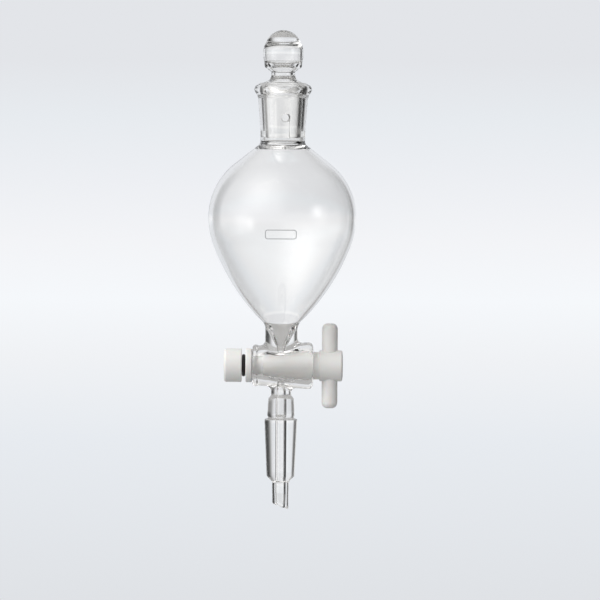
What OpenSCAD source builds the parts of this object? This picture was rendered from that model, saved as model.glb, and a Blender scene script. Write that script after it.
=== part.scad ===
// Separatory funnel, 100 ml, pear-shaped, with a PTFE plug stopcock.
// Millimetres. +Z is up. +X runs along the stopcock towards its handle.
// The origin is the centre of the outlet cone's large end, where a mating socket seals.

/* [Ground joints] */
// Large-end diameter of the outlet's ground cone
cone_d = 15; // [14:0.1:16]
// Length of the outlet's ground cone
cone_l = 25; // [20:1:28]
// Large-end diameter of the neck's ground socket
socket_d = 18.8; // [18:0.1:19.6]
// Radial gap between the stopper and its socket
ground_gap = 0.05; // [0.02:0.01:0.1]

/* [Bulb] */
// Greatest radius of the bulb
bulb_r = 33.1; // [32:0.1:34]
// Height of the bulb's widest ring
bulb_z = 91; // [90:0.5:92]
// Wall thickness of the bulb
wall = 1.6; // [1.2:0.1:1.9]
// Radius of the arc above the widest ring
dome_r = 30.5; // [29:0.5:32]
// Angle that the upper arc turns through
dome_a = 52; // [48:1:54]
// Radius of the first arc below the widest ring
belly_r = 36; // [34:1:38]
// Angle at which the first lower arc ends
belly_a = 21; // [18:1:24]
// Radius of the long arc down to the stopcock
flank_r = 97; // [94:1:100]
// Angle at which the long lower arc ends
flank_a = 42; // [40:1:43]

/* [Neck] */
// Height of the neck's rim
rim_z = 151.2; // [149:0.2:154]
// Outer radius of the neck just above the bulb
neck_r = 9.6; // [9.4:0.1:10]
// Outer radius of the neck just under its bead
neck_top_r = 11.2; // [10.8:0.1:11.6]
// Radius of the bead's round section
bead_r = 2.3; // [2:0.1:2.5]
// Diameter of the vent hole
vent_d = 3.4; // [3:0.1:4]
// Height of the vent hole
vent_z = 135.6; // [133:0.2:138]
// Angle of the vent from the front, towards +X
vent_turn = 6; // [0:1:20]

/* [Stopper] */
// Wall thickness of the hollow stopper
stopper_wall = 1.6; // [1.4:0.1:1.9]
// Height of the stopper's open lower end
stopper_z = 126.5; // [126:0.5:129]
// Width of the vent groove
groove_w = 4; // [3:0.1:4.5]
// Radius of the stopper's waist
waist_r = 5.3; // [5:0.1:6]
// Greatest radius of the stopper's head
head_r = 9; // [8.6:0.1:9.4]
// Height of the head's top above the neck's rim
head_h = 23.6; // [23:0.2:24.2]

/* [Stopcock] */
// Height of the stopcock's axis
tap_z = 24.6; // [24:0.1:25.2]
// Left end of the barrel
barrel_x0 = -12.8; // [-13.2:0.1:-12.4]
// Right end of the barrel
barrel_x1 = 14.3; // [14:0.1:14.8]
// Outer radius at the barrel's left end
barrel_r0 = 8.8; // [8.5:0.1:9.2]
// Outer radius where the barrel's right end begins to round off
barrel_r1 = 10.5; // [10:0.1:10.8]
// Radius of the barrel's tapered bore at the middle
tap_r = 5.48; // [5.4:0.02:5.56]
// Diameter of the liquid's way through the plug
port_d = 3; // [2:0.1:3.4]
// Radial gap between the plug and the barrel
plug_gap = 0.05; // [0.02:0.01:0.08]

/* [Handle] */
// Diameter of the handle rod
rod_d = 7.05; // [6.5:0.05:7.4]
// Length of the handle rod
rod_l = 38; // [34:1:42]
// Distance from the port to the handle rod
rod_x = 21.7; // [21.4:0.1:22.4]
// Radius of the plug's hub
hub_r = 6.95; // [6.6:0.05:7.4]

/* [Outlet] */
// Outer radius of the bulge above the cone
bulge_r = 6.1; // [5.8:0.1:6.4]
// Radius of the waist under the barrel
shank_r = 4.5; // [4.2:0.1:4.8]
// Height of the waist
shank_z = 12.3; // [12:0.1:12.6]
// Outer radius of the drip tip
tip_r = 3.6; // [3.4:0.1:3.8]
// Lowest point of the drip tip
tip_z = -39.9; // [-42:0.1:-36]
// Angle of the drip tip's slanted cut
tip_a = 20.5; // [10:0.5:30]

/* [Lock nut] */
// Outer radius of the nut
nut_r = 7.5; // [7:0.1:8]
// Length of the nut
nut_l = 8; // [7:0.2:8.4]
// Thickness of the washer
washer_t = 2.9; // [2.4:0.1:3]
// Outer radius of the washer
washer_r = 7.6; // [7.2:0.1:8]
// Diameter of the O-ring's round section
oring_d = 1.5; // [1.4:0.1:1.6]
// Outer diameter of the O-ring
oring_od = 10; // [9.6:0.1:10.4]

/* [Hidden] */
$fn = 96;

glass = [0.86, 0.90, 0.92, 0.45];
ptfe = [0.95, 0.95, 0.93];
black_rubber = [0.08, 0.08, 0.09];

// A cutter's size where it only has to be larger than the piece, and its overrun elsewhere.
cut = 60;
past = 1;

// Change of radius per millimetre: 1 in 10 on diameter for the ground joints.
joint_taper = 0.05;
tap_taper = 0.09;

// The bulb ends below where it meets the stopcock's side neck.
bulb_z0 = 43;
// The shoulder's straight flank runs up to this radius, then blends into the neck.
shoulder_r = 10;
neck_taper_l = 19.5;
bead_x = 10.6;
bead_z = rim_z - 3;
rim_flat = 0.8;

// The side neck carries the bulb. Its bore narrows to the port at funnel_z.
side_neck_r = 7.3;
side_neck_bore = 5.4;
funnel_z = tap_z + 8.4;
// Rounding of the barrel's right end.
lip_round = 2.2;
// The waist flares by this much where it meets the barrel.
flare = 1.5;
flare_h = 3.5;

// Outlet: bore, roundings of the bulge, and the cone's chamfered lower end.
bore_r = 1.8;
bulge_round = 1.6;
bulge_top = shank_z - 1.6;
waist_foot = shank_z - 1.4;
seal_round = cone_d / 2 - bulge_r - 0.2;
chamfer = 0.9;
tip_shoulder = 2.4;

// Stopper: its rounded upper edge, then the waist of glass up to the head.
plug_round = 1;
plug_top = rim_z - 0.8;
waist_foot_r = waist_r + 0.7;
waist_foot_z = rim_z + 1.4;
waist_z = rim_z + 3.4;
waist_end = rim_z + 4.9;
channel_r = waist_r - 1.7;
channel_foot = rim_z - 3;
groove_floor = 7.75;
head_top = rim_z + head_h;
// The head: a flat foot and a bulging side, each with its depth below the top, and a domed
// crown that turns through crown_turn from the top.
foot_round = 1.6;
foot_drop = 15.9;
foot_edge = 17.7;
foot_inset = 0.6;
side_round = 14;
side_drop = 10.6;
crown_round = 8.1;
crown_turn = 60;
// The head's hollow.
hollow_r = head_r - 1.2;
hollow_round = 3;
hollow_top = head_top - 5.6;
hollow_foot = head_top - 16.2;

belly_c = [bulb_r - belly_r, bulb_z];
flank_c = belly_c - (flank_r - belly_r) * [cos(belly_a), -sin(belly_a)];
dome_c = [bulb_r - dome_r, bulb_z];
// The bulb ends above where the neck's socket begins, always over the shoulder's flank.
seam_z = 125;
seam_rise = 0.8;
bulb_z1 = max(seam_z, shoulder_end(0, shoulder_r)[1] + seam_rise);

// Axial stack of the stopcock's fastening, from the barrel's left end outwards.
seat_gap = 0.3;
face_gap = 0.1;
washer_x = barrel_x0 - seat_gap;
oring_x = washer_x - washer_t - face_gap - oring_d / 2;
nut_x = oring_x - oring_d / 2 - face_gap;

// Plug from its small end to its hub; the threaded tail stops a little inside the nut.
plug_x0 = -8.1;
collar_x = barrel_x1;
collar_r = hub_r - 0.8;
hub_x0 = 17.1;
hub_x1 = 27.6;
hub_round = 1.2;
stem_r = 4.1;
tail_r = 3;
tail_flat = 2.5;
tail_x = nut_x - nut_l + 1.4;
keyhole_gap = 0.1;
thread_gap = 0.05;

rod_round = 2.5;
washer_round = 0.6;
nut_round = 1.2;
nut_face_round = 0.5;

function arc(c, r, a0, a1, n = 8) =
    [for (i = [0:n]) c + r * [cos(a0 + (a1 - a0) * i / n), sin(a0 + (a1 - a0) * i / n)]];

function socket_bore(z) = socket_d / 2 - joint_taper * (rim_z - z);
function neck_outer(z) = neck_r + (neck_top_r - neck_r) * (z - bulb_z1) / neck_taper_l;
function tap_bore(x) = tap_r + tap_taper * x;

// The bulb's wall from bottom to top, moved inwards by t.
function bulb_curve(t) = concat(
    arc(flank_c, flank_r - t, -flank_a, -belly_a, 7),
    arc(belly_c, belly_r - t, -belly_a, 0, 5),
    arc(dome_c, dome_r - t, 0, dome_a, 11));

// Where the straight shoulder above the dome arc reaches radius r.
function shoulder_end(t, r) =
    let (p = dome_c + (dome_r - t) * [cos(dome_a), sin(dome_a)])
    [r, p[1] + (p[0] - r) / tan(dome_a)];

function reversed(list) = [for (i = [len(list) - 1:-1:0]) list[i]];

module lathe(outline) rotate_extrude() polygon(outline);

// Lays a lathed piece along the stopcock: its Z becomes +X.
module along_tap() translate([0, 0, tap_z]) rotate([0, 90, 0]) children();

// Faces the vent: local -Y points at the vent hole.
module at_vent() rotate([0, 0, vent_turn]) children();

module neck_socket()
    color(glass)
    difference() {
        lathe(concat(
            [[0, bulb_z1], [neck_outer(bulb_z1), bulb_z1], [neck_top_r, bulb_z1 + neck_taper_l]],
            arc([bead_x, bead_z], bead_r, -45, 75, 9),
            [[socket_d / 2 + rim_flat, rim_z], [0, rim_z]]));
        lathe([[0, bulb_z1 - past], [socket_bore(bulb_z1 - past), bulb_z1 - past],
               [socket_bore(rim_z + past), rim_z + past], [0, rim_z + past]]);
        at_vent() translate([0, 0, vent_z]) rotate([90, 0, 0])
            cylinder(d = vent_d, h = cut);
    }

module bulb()
    color(glass)
    lathe(concat(
        [[side_neck_bore, bulb_z0], [side_neck_r, bulb_z0]],
        bulb_curve(0),
        [shoulder_end(0, shoulder_r), [neck_outer(bulb_z1), bulb_z1], [socket_bore(bulb_z1), bulb_z1]],
        [shoulder_end(wall, socket_bore(bulb_z1))],
        reversed(bulb_curve(wall))));

module stopcock_barrel()
    color(glass)
    difference() {
        union() {
            // Barrel tube, wider towards the handle and rounded at that end
            along_tap() lathe(concat(
                [[0, barrel_x0], [barrel_r0, barrel_x0]],
                arc([barrel_r1 - lip_round, barrel_x1 - lip_round], lip_round, 0, 90, 6),
                [[0, barrel_x1]]));
            // Side neck up to the bulb
            translate([0, 0, tap_z]) cylinder(r = side_neck_r, h = bulb_z0 - tap_z);
            // Flared waist down to the outlet
            translate([0, 0, shank_z])
                cylinder(r1 = shank_r, r2 = shank_r + flare, h = flare_h);
            translate([0, 0, shank_z + flare_h])
                cylinder(r = shank_r + flare, h = tap_z - shank_z - flare_h);
        }
        // Tapered bore for the plug
        along_tap() translate([0, 0, barrel_x0 - past])
            cylinder(r1 = tap_bore(barrel_x0 - past), r2 = tap_bore(barrel_x1 + past),
                     h = barrel_x1 - barrel_x0 + 2 * past);
        // Funnel under the bulb, then the liquid's way through both walls
        lathe([[0, shank_z - past], [port_d / 2, shank_z - past], [port_d / 2, funnel_z],
               [side_neck_bore, bulb_z0], [side_neck_bore, bulb_z0 + past],
               [0, bulb_z0 + past]]);
    }

module outlet_cone()
    color(glass)
    difference() {
        lathe(concat(
            [[bore_r, tip_z - past], [tip_r, tip_z - past], [tip_r, -cone_l - tip_shoulder]],
            [[cone_d / 2 - joint_taper * cone_l - chamfer, -cone_l - chamfer]],
            [[cone_d / 2 - joint_taper * cone_l, -cone_l], [cone_d / 2, 0]],
            arc([cone_d / 2 - seal_round, 0], seal_round, 0, 80, 4),
            arc([bulge_r - bulge_round, bulge_top - bulge_round], bulge_round, 0, 90, 5),
            [[shank_r, waist_foot], [shank_r, shank_z], [bore_r, shank_z]]));
        // Slanted cut of the drip tip, lowest on the +X side
        translate([tip_r, 0, tip_z]) rotate([0, tip_a, 0])
            translate([-cut / 2, -cut / 2, -cut]) cube(cut);
    }

module stopper()
    color(glass)
    difference() {
        lathe(concat(
            [[0, stopper_z], [socket_bore(stopper_z) - ground_gap, stopper_z]],
            [[socket_bore(rim_z - plug_round) - ground_gap, rim_z - plug_round]],
            arc([socket_d / 2 - 1.3 * plug_round, plug_top], plug_round, 10, 90, 4),
            [[waist_foot_r, waist_foot_z], [waist_r, waist_z], [waist_r, waist_end]],
            [[waist_r + foot_round, head_top - foot_edge]],
            arc([head_r - foot_inset - foot_round, head_top - foot_drop], foot_round, -60, -10, 4),
            arc([head_r - side_round, head_top - side_drop], side_round, -14, 16, 7),
            arc([0, head_top - crown_round], crown_round, 90 - crown_turn, 90, 8)));
        // Hollow of the plug, open at its lower end, then the channel through the waist
        lathe([[0, stopper_z - past], [socket_bore(stopper_z) - stopper_wall, stopper_z - past],
               [socket_bore(channel_foot) - stopper_wall, channel_foot],
               [channel_r, rim_z], [channel_r, hollow_foot + past], [0, hollow_foot + past]]);
        // Hollow of the head
        lathe(concat([[0, hollow_foot]],
            arc([hollow_r - hollow_round, hollow_foot + hollow_round], hollow_round, -90, -10, 5),
            arc([hollow_r - hollow_round, hollow_top - hollow_round], hollow_round, 10, 90, 5),
            [[0, hollow_top]]));
        // Vent groove, in line with the vent hole
        at_vent() translate([-groove_w / 2, -socket_d / 2 - past, stopper_z - past])
            cube([groove_w, socket_d / 2 + past - groove_floor,
                  vent_z + vent_d / 2 - stopper_z + past]);
    }

module stopcock_plug()
    color(ptfe)
    difference() {
        union() {
            along_tap() lathe(concat(
                [[0, washer_x + face_gap], [stem_r, washer_x + face_gap], [stem_r, plug_x0]],
                [[tap_bore(plug_x0) - plug_gap, plug_x0]],
                [[tap_bore(collar_x) - plug_gap, collar_x]],
                [[collar_r, collar_x], [collar_r, hub_x0], [hub_r, hub_x0]],
                arc([hub_r - hub_round, hub_x1 - 1.5 * hub_round], hub_round, 0, 75, 4),
                [[0, hub_x1]]));
            // Threaded tail, with two flats that keep the washer from turning
            along_tap() intersection() {
                translate([0, 0, tail_x]) cylinder(r = tail_r, h = plug_x0 - tail_x);
                translate([-cut / 2, -tail_flat, tail_x - past]) cube([cut, 2 * tail_flat, cut]);
            }
        }
        // Liquid's way, in line with the outlet when the handle is upright
        translate([0, 0, tap_z]) cylinder(d = port_d, h = cut, center = true);
        translate([rod_x, 0, tap_z]) cylinder(d = rod_d, h = cut, center = true);
    }

module handle_rod()
    color(ptfe)
    translate([rod_x, 0, tap_z])
    lathe(concat(
        [[0, -rod_l / 2]],
        arc([rod_d / 2 - rod_round, -rod_l / 2 + rod_round], rod_round, -90, 0, 6),
        arc([rod_d / 2 - rod_round, rod_l / 2 - rod_round], rod_round, 0, 90, 6),
        [[0, rod_l / 2]]));

module washer()
    color(ptfe)
    along_tap() translate([0, 0, washer_x - washer_t]) difference() {
        lathe(concat(
            [[0, 0]],
            arc([washer_r - washer_round, washer_round], washer_round, -90, 0, 4),
            arc([washer_r - washer_round, washer_t - washer_round], washer_round, 0, 90, 4),
            [[0, washer_t]]));
        intersection() {
            translate([0, 0, -past]) cylinder(r = tail_r + keyhole_gap, h = washer_t + 2 * past);
            translate([-cut / 2, -tail_flat - keyhole_gap, -past])
                cube([cut, 2 * (tail_flat + keyhole_gap), cut]);
        }
    }

module o_ring()
    color(black_rubber)
    along_tap() translate([0, 0, oring_x])
    rotate_extrude() translate([(oring_od - oring_d) / 2, 0]) circle(d = oring_d);

module lock_nut()
    color(ptfe)
    along_tap() translate([0, 0, nut_x - nut_l]) difference() {
        lathe(concat(
            [[0, 0]],
            arc([nut_r - nut_round, nut_round], nut_round, -90, 0, 5),
            arc([nut_r - nut_face_round, nut_l - nut_face_round], nut_face_round, 0, 90, 4),
            [[0, nut_l]]));
        translate([0, 0, -past]) cylinder(r = tail_r + thread_gap, h = nut_l + 2 * past);
    }

neck_socket();
bulb();
stopcock_barrel();
outlet_cone();
stopper();
stopcock_plug();
handle_rod();
washer();
o_ring();
lock_nut();
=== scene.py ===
"""Looks of a separatory funnel: clear glass, white PTFE and a black O-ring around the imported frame.

Meshes are worked out in millimetres and stored in metres. +X runs along the stopcock, +Z is up.
"""

import math

import bmesh
import bpy
import numpy as np
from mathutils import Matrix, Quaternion, Vector


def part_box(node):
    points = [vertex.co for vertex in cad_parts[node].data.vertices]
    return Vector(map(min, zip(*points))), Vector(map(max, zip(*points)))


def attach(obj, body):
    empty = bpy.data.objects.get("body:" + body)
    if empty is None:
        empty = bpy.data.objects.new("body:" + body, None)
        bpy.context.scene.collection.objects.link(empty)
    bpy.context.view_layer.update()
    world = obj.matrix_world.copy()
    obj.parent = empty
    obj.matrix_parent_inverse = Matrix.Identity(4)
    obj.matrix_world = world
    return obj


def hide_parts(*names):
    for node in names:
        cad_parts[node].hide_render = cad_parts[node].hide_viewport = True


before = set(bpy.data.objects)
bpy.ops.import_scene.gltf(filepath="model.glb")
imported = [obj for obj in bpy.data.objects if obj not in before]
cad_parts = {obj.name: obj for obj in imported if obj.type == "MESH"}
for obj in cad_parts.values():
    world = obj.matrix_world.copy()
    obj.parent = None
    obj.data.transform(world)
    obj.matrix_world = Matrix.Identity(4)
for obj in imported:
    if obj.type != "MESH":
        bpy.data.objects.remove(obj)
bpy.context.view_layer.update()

MM = 0.001
TAU = 2 * math.pi
ROUND = 144          # points round a lathed surface
CORNER_STEP = 9      # degrees between points on a rounded corner


def corners(node):
    """A CAD node's lowest and highest corner in millimetres."""
    low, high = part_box(node)
    return np.array(low) / MM, np.array(high) / MM


# ---- Sizes, read from the frame -------------------------------------------------

BULB_LOW, BULB_HIGH = corners("bulb")
BARREL_LOW, BARREL_HIGH = corners("stopcock_barrel")
CONE_LOW, CONE_HIGH = corners("outlet_cone")
STOPPER_LOW, STOPPER_HIGH = corners("stopper")
PLUG_LOW, PLUG_HIGH = corners("stopcock_plug")
ROD_LOW, ROD_HIGH = corners("handle_rod")
WASHER_LOW, WASHER_HIGH = corners("washer")
RING_LOW, RING_HIGH = corners("o_ring")
NUT_LOW, NUT_HIGH = corners("lock_nut")

TAP_Z = (ROD_LOW[2] + ROD_HIGH[2]) / 2
RIM_Z = corners("neck_socket")[1][2]
BULB_R = BULB_HIGH[0]

# ---- Sizes of the glass that the boxes don't give --------------------------------

WALL = 1.6
JOINT_TAPER = 0.05          # change of radius per millimetre, 1 in 10 on diameter
SOCKET_R = 9.4              # at the rim
BULB_EQUATOR = 91.0
DOME_R, DOME_TURN = 30.5, 52
BELLY_R, BELLY_TURN = 36.0, 21
FLANK_R, FLANK_TURN = 97.0, 42
NECK_R, NECK_TOP_R, NECK_TAPER_L = 9.6, 11.2, 19.5
BEAD_R, BEAD_X, BEAD_DROP, RIM_FLAT = 2.3, 10.6, 3.0, 0.8
VENT_Z, VENT_R, VENT_TURN = 135.6, 1.7, 6
VENT_HALF, VENT_COLUMNS = 3.2, 8          # the block opened for it: half its height, half its columns
VENT_ROUND_OUT, VENT_ROUND_IN = 0.75, 0.3
SEAL_Z = 122.8              # the thickened ring where the neck is sealed to the bulb
THROAT_IN = 0.15            # how far the throat lies inside the socket's taper
SIDE_NECK_R, SIDE_NECK_BORE = 7.3, 5.4
PORT_R = 1.5
PORT_RISE = 8.4             # from the tap's axis to where the port widens into a funnel
OUTLET_BORE = 1.8
SHANK_R, BULGE_R = 4.5, 6.1
TAP_BORE_R, TAP_TAPER = 5.48, 0.09
BARREL_R0, LIP_ROUND, SMALL_END_ROUND = 8.8, 2.2, 1.1
LIP_DROP, LIP_INSET, LIP_R = 0.7, 1.25, 1.15     # the fire-polished lip of the barrel's small end
LIP_FILLET, SIDE_FILLET, SHANK_FILLET, BORE_ROUND = 0.8, 2.0, 2.2, 0.3
CONE_L = 25.0
TIP_R, TIP_SLOPE = 3.6, math.tan(math.radians(20.5))
SLANT_WHOLE, SLANT_NONE = 4, 11           # heights above the tip between which its slant fades out
UPPER_SEAM_Z, LOWER_SEAM_Z = 38.6, 12.0   # where lathed glass joins the barrel's skin
NET_STEP = 0.36                           # size of a cell of that skin


# ---- Outlines --------------------------------------------------------------------

def arc(centre, radius, start, end, step=3.0):
    """Points on an arc, angles in degrees from +r towards +z."""
    count = max(2, int(math.ceil(abs(end - start) / step)))
    angles = np.radians(np.linspace(start, end, count + 1))
    return np.array(centre) + radius * np.stack([np.cos(angles), np.sin(angles)], 1)


def rounded(points, step=CORNER_STEP):
    """A polyline of (r, z, fillet) corners with each corner replaced by its fillet arc."""
    flat = np.array([p[:2] for p in points], float)
    out = [flat[:1]]
    for i in range(1, len(points) - 1):
        fillet = points[i][2]
        before, here, after = flat[i - 1], flat[i], flat[i + 1]
        u = (before - here) / np.linalg.norm(before - here)
        v = (after - here) / np.linalg.norm(after - here)
        half = math.acos(np.clip(u @ v, -1, 1)) / 2
        if fillet <= 0 or half > math.radians(89.5):
            out.append(here[None])
            continue
        reach = fillet / math.tan(half)
        room = 0.49 * min(np.linalg.norm(before - here), np.linalg.norm(after - here))
        if reach > room:
            reach, fillet = room, room * math.tan(half)
        middle = here + (u + v) / np.linalg.norm(u + v) * fillet / math.sin(half)
        a, b = here + u * reach - middle, here + v * reach - middle
        turn = math.degrees(2 * (math.pi / 2 - half))
        count = max(2, int(math.ceil(turn / step)))
        side = math.copysign(1, a[0] * b[1] - a[1] * b[0])
        base = math.atan2(a[1], a[0])
        angles = base + side * np.radians(turn) * np.linspace(0, 1, count + 1)
        out.append(middle + fillet * np.stack([np.cos(angles), np.sin(angles)], 1))
    out.append(flat[-1:])
    return np.concatenate(out)


def filled_in(outline, spacing):
    """The outline with its long stretches cut into pieces no longer than spacing."""
    out = [outline[:1]]
    for a, b in zip(outline[:-1], outline[1:]):
        count = max(1, int(math.ceil(np.linalg.norm(b - a) / spacing)))
        out.append(a + (b - a) * np.linspace(0, 1, count + 1)[1:, None])
    return np.concatenate(out)


def socket_r(z):
    return SOCKET_R - JOINT_TAPER * (RIM_Z - z)


def neck_outer(z):
    return NECK_R + (NECK_TOP_R - NECK_R) * (z - BULB_HIGH[2]) / NECK_TAPER_L


def bend(start, corner, end, count=14):
    """A smooth curve from start to end, drawn towards the corner between them."""
    share = np.linspace(0, 1, count + 1)[:, None]
    start, corner, end = np.array(start), np.array(corner), np.array(end)
    return (1 - share) ** 2 * start + 2 * share * (1 - share) * corner + share ** 2 * end


def spun(outline, count=ROUND, start=0.0):
    """One ring of points round Z for each (r, z) of the outline: an array (rings, count, 3)."""
    angles = start + np.arange(count) * TAU / count
    r, z = outline[:, :1], outline[:, 1:]
    return np.stack([r * np.cos(angles), r * np.sin(angles), z + 0 * angles], -1)


def along_tap(points):
    """Lays points made round Z along the stopcock: their Z becomes X."""
    return np.stack([points[..., 2], points[..., 1], TAP_Z - points[..., 0]], -1)


# ---- Meshes ----------------------------------------------------------------------

class Skin:
    """One closed surface, gathered from patches that share vertices."""

    def __init__(self):
        self.points = []
        self.faces = []
        self.count = 0

    def add(self, points):
        """Adds points of any array shape and returns their numbers in the same shape."""
        flat = np.asarray(points, float).reshape(-1, 3)
        numbers = self.count + np.arange(len(flat))
        self.points.append(flat)
        self.count += len(flat)
        return numbers.reshape(np.shape(points)[:-1])

    def rings(self, numbers, skip=()):
        """Quads between each closed ring of numbers and the next, but for the cells in skip."""
        rows, columns = numbers.shape
        for row in range(rows - 1):
            for column in range(columns):
                if (row, column) not in skip:
                    after = (column + 1) % columns
                    self.faces.append((numbers[row, column], numbers[row, after],
                                       numbers[row + 1, after], numbers[row + 1, column]))

    def cap(self, ring, tip):
        """A fan from a closed ring to one point on the axis."""
        centre = self.add(np.array([tip]))[0]
        for column in range(len(ring)):
            self.faces.append((ring[column], ring[(column + 1) % len(ring)], centre))

    def zip_rings(self, a, angles_a, b, angles_b):
        """Triangles between two closed rings with different numbers of points."""
        shift = int(np.argmin(np.abs(np.angle(np.exp(1j * (angles_b - angles_a[0]))))))
        b, angles_b = np.roll(b, -shift), np.roll(angles_b, -shift)
        turn_a = np.append(np.mod(angles_a - angles_a[0], TAU), TAU)
        turn_b = np.append(np.mod(angles_b - angles_b[0], TAU), TAU)
        i = j = 0
        while i < len(a) or j < len(b):
            if j == len(b) or (i < len(a) and turn_a[i + 1] <= turn_b[j + 1]):
                self.faces.append((a[i % len(a)], a[(i + 1) % len(a)], b[j % len(b)]))
                i += 1
            else:
                self.faces.append((a[i % len(a)], b[(j + 1) % len(b)], b[j % len(b)]))
                j += 1

    def tunnel(self, ends, place, radius):
        """A round hole that joins two blocks left open in a wall.

        Each end is (numbers, uv, depth, fillet): the numbers of the block's border, their places
        (u, v) across the hole, how far along the hole the wall's surface lies at (u, v), and the
        rounding of the hole's edge. place turns (u, v, depth) into a point.
        """
        halves = []
        for sign, (numbers, uv, depth, fillet) in zip((-1, 1), ends):
            spoke = uv / np.linalg.norm(uv, axis=1)[:, None]
            half = [numbers]
            for share in (0.3, 0.6, 0.85, 1.0):
                at = (1 - share) * uv + share * (radius + fillet) * spoke
                half.append(self.add(place(at, depth(at))))
            for turn in np.radians((22.5, 45, 67.5, 90)):
                at = (radius + fillet * (1 - math.sin(turn))) * spoke
                sunk = sign * fillet * (1 - math.cos(turn))
                half.append(self.add(place(at, depth(at) + sunk)))
            halves.append(half)
        self.rings(np.array(halves[0] + halves[1][::-1]))

    def piece(self, name, material, body, replaced):
        """Makes the Blender object, smooth-shaded, in metres."""
        mesh = bpy.data.meshes.new(name)
        points = np.concatenate(self.points) * MM
        mesh.from_pydata(points.tolist(), [], [[int(n) for n in face] for face in self.faces])
        work = bmesh.new()
        work.from_mesh(mesh)
        loose = [v for v in work.verts if not v.link_faces]
        bmesh.ops.delete(work, geom=loose, context="VERTS")
        bmesh.ops.recalc_face_normals(work, faces=work.faces)
        work.to_mesh(mesh)
        work.free()
        mesh.polygons.foreach_set("use_smooth", [True] * len(mesh.polygons))
        mesh.materials.append(material)
        made = bpy.data.objects.new(name, mesh)
        bpy.context.scene.collection.objects.link(made)
        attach(made, body)
        if replaced:
            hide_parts(*replaced)
        return made


def block(row_count, half_columns, columns, centre=0, mirrored=False):
    """The cells of a block in a lathed grid, and its border as (row, column) pairs in order."""
    side = -1 if mirrored else 1
    cells = {(row, (centre + column) % columns)
             for row in range(row_count) for column in range(-half_columns, half_columns)}
    along = range(-half_columns, half_columns)
    border = [(0, column) for column in along]
    border += [(row, half_columns) for row in range(row_count)]
    border += [(row_count, -column) for column in along]
    border += [(row_count - row, -half_columns) for row in range(row_count)]
    return cells, [(row, (centre + side * column) % columns) for row, column in border]


# ---- The glass body ----------------------------------------------------------------

def bulb_curve(inset):
    """The bulb's wall from bottom to top, moved inwards by inset."""
    belly_c = np.array([BULB_R - BELLY_R, BULB_EQUATOR])
    lean = math.radians(BELLY_TURN)
    flank_c = belly_c - (FLANK_R - BELLY_R) * np.array([math.cos(lean), -math.sin(lean)])
    dome_c = np.array([BULB_R - DOME_R, BULB_EQUATOR])
    return np.concatenate([
        arc(flank_c, FLANK_R - inset, -FLANK_TURN, -BELLY_TURN, 1.5),
        arc(belly_c, BELLY_R - inset, -BELLY_TURN, 0, 2.5)[1:],
        arc(dome_c, DOME_R - inset, 0, DOME_TURN, 2.5)[1:]])


def shoulder_z(inset, r):
    """Height at which the straight shoulder above the dome reaches radius r."""
    turn = math.radians(DOME_TURN)
    start_r = BULB_R - DOME_R + (DOME_R - inset) * math.cos(turn)
    start_z = BULB_EQUATOR + (DOME_R - inset) * math.sin(turn)
    return start_z + (start_r - r) / math.tan(turn)


def side_neck_bore(z):
    """Radius of the funnel between the bulb and the stopcock's port."""
    share = np.clip((z - TAP_Z - PORT_RISE) / (BULB_LOW[2] - TAP_Z - PORT_RISE), 0, None)
    return PORT_R + (SIDE_NECK_BORE - PORT_R) * share


def barrel_r(x):
    share = (x - BARREL_LOW[0]) / (BARREL_HIGH[0] - LIP_ROUND - BARREL_LOW[0])
    return BARREL_R0 + (BARREL_HIGH[1] - BARREL_R0) * share


def joined(a, b, fillet):
    """Two distance fields melted together with a fillet of that radius."""
    return np.maximum(fillet, np.minimum(a, b)) - np.hypot(
        np.maximum(fillet - a, 0), np.maximum(fillet - b, 0))


def common(a, b, fillet):
    """What two distance fields share, its edge rounded to that radius."""
    return -joined(-a, -b, fillet)


def barrel_field(p):
    """Distance from the surface of the stopcock's glass, negative inside it."""
    x, y, z = p[..., 0], p[..., 1], p[..., 2]
    off_tap, off_axis = np.hypot(y, z - TAP_Z), np.hypot(x, y)
    wall = off_tap - np.minimum(barrel_r(x), BARREL_HIGH[1])
    tube = common(common(wall, x - BARREL_HIGH[0], LIP_ROUND), BARREL_LOW[0] - x, SMALL_END_ROUND)
    lip = np.hypot(off_tap - BARREL_R0 + LIP_DROP, x - BARREL_LOW[0] - LIP_INSET) - LIP_R
    side_neck = np.maximum(off_axis - SIDE_NECK_R, TAP_Z - z)
    shank = np.maximum(off_axis - SHANK_R, z - TAP_Z)
    glass = joined(joined(joined(tube, lip, LIP_FILLET), side_neck, SIDE_FILLET), shank,
                   SHANK_FILLET)
    tap_bore = off_tap - TAP_BORE_R - TAP_TAPER * x
    port = off_axis - np.where(z > TAP_Z, side_neck_bore(z), PORT_R)
    return common(glass, -np.minimum(tap_bore, port), BORE_ROUND)


def slope(field, p, reach=0.01):
    """Gradient of a field at the points p."""
    steps = np.eye(3) * reach
    return np.stack([field(p + s) - field(p - s) for s in steps], -1) / (2 * reach)


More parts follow.
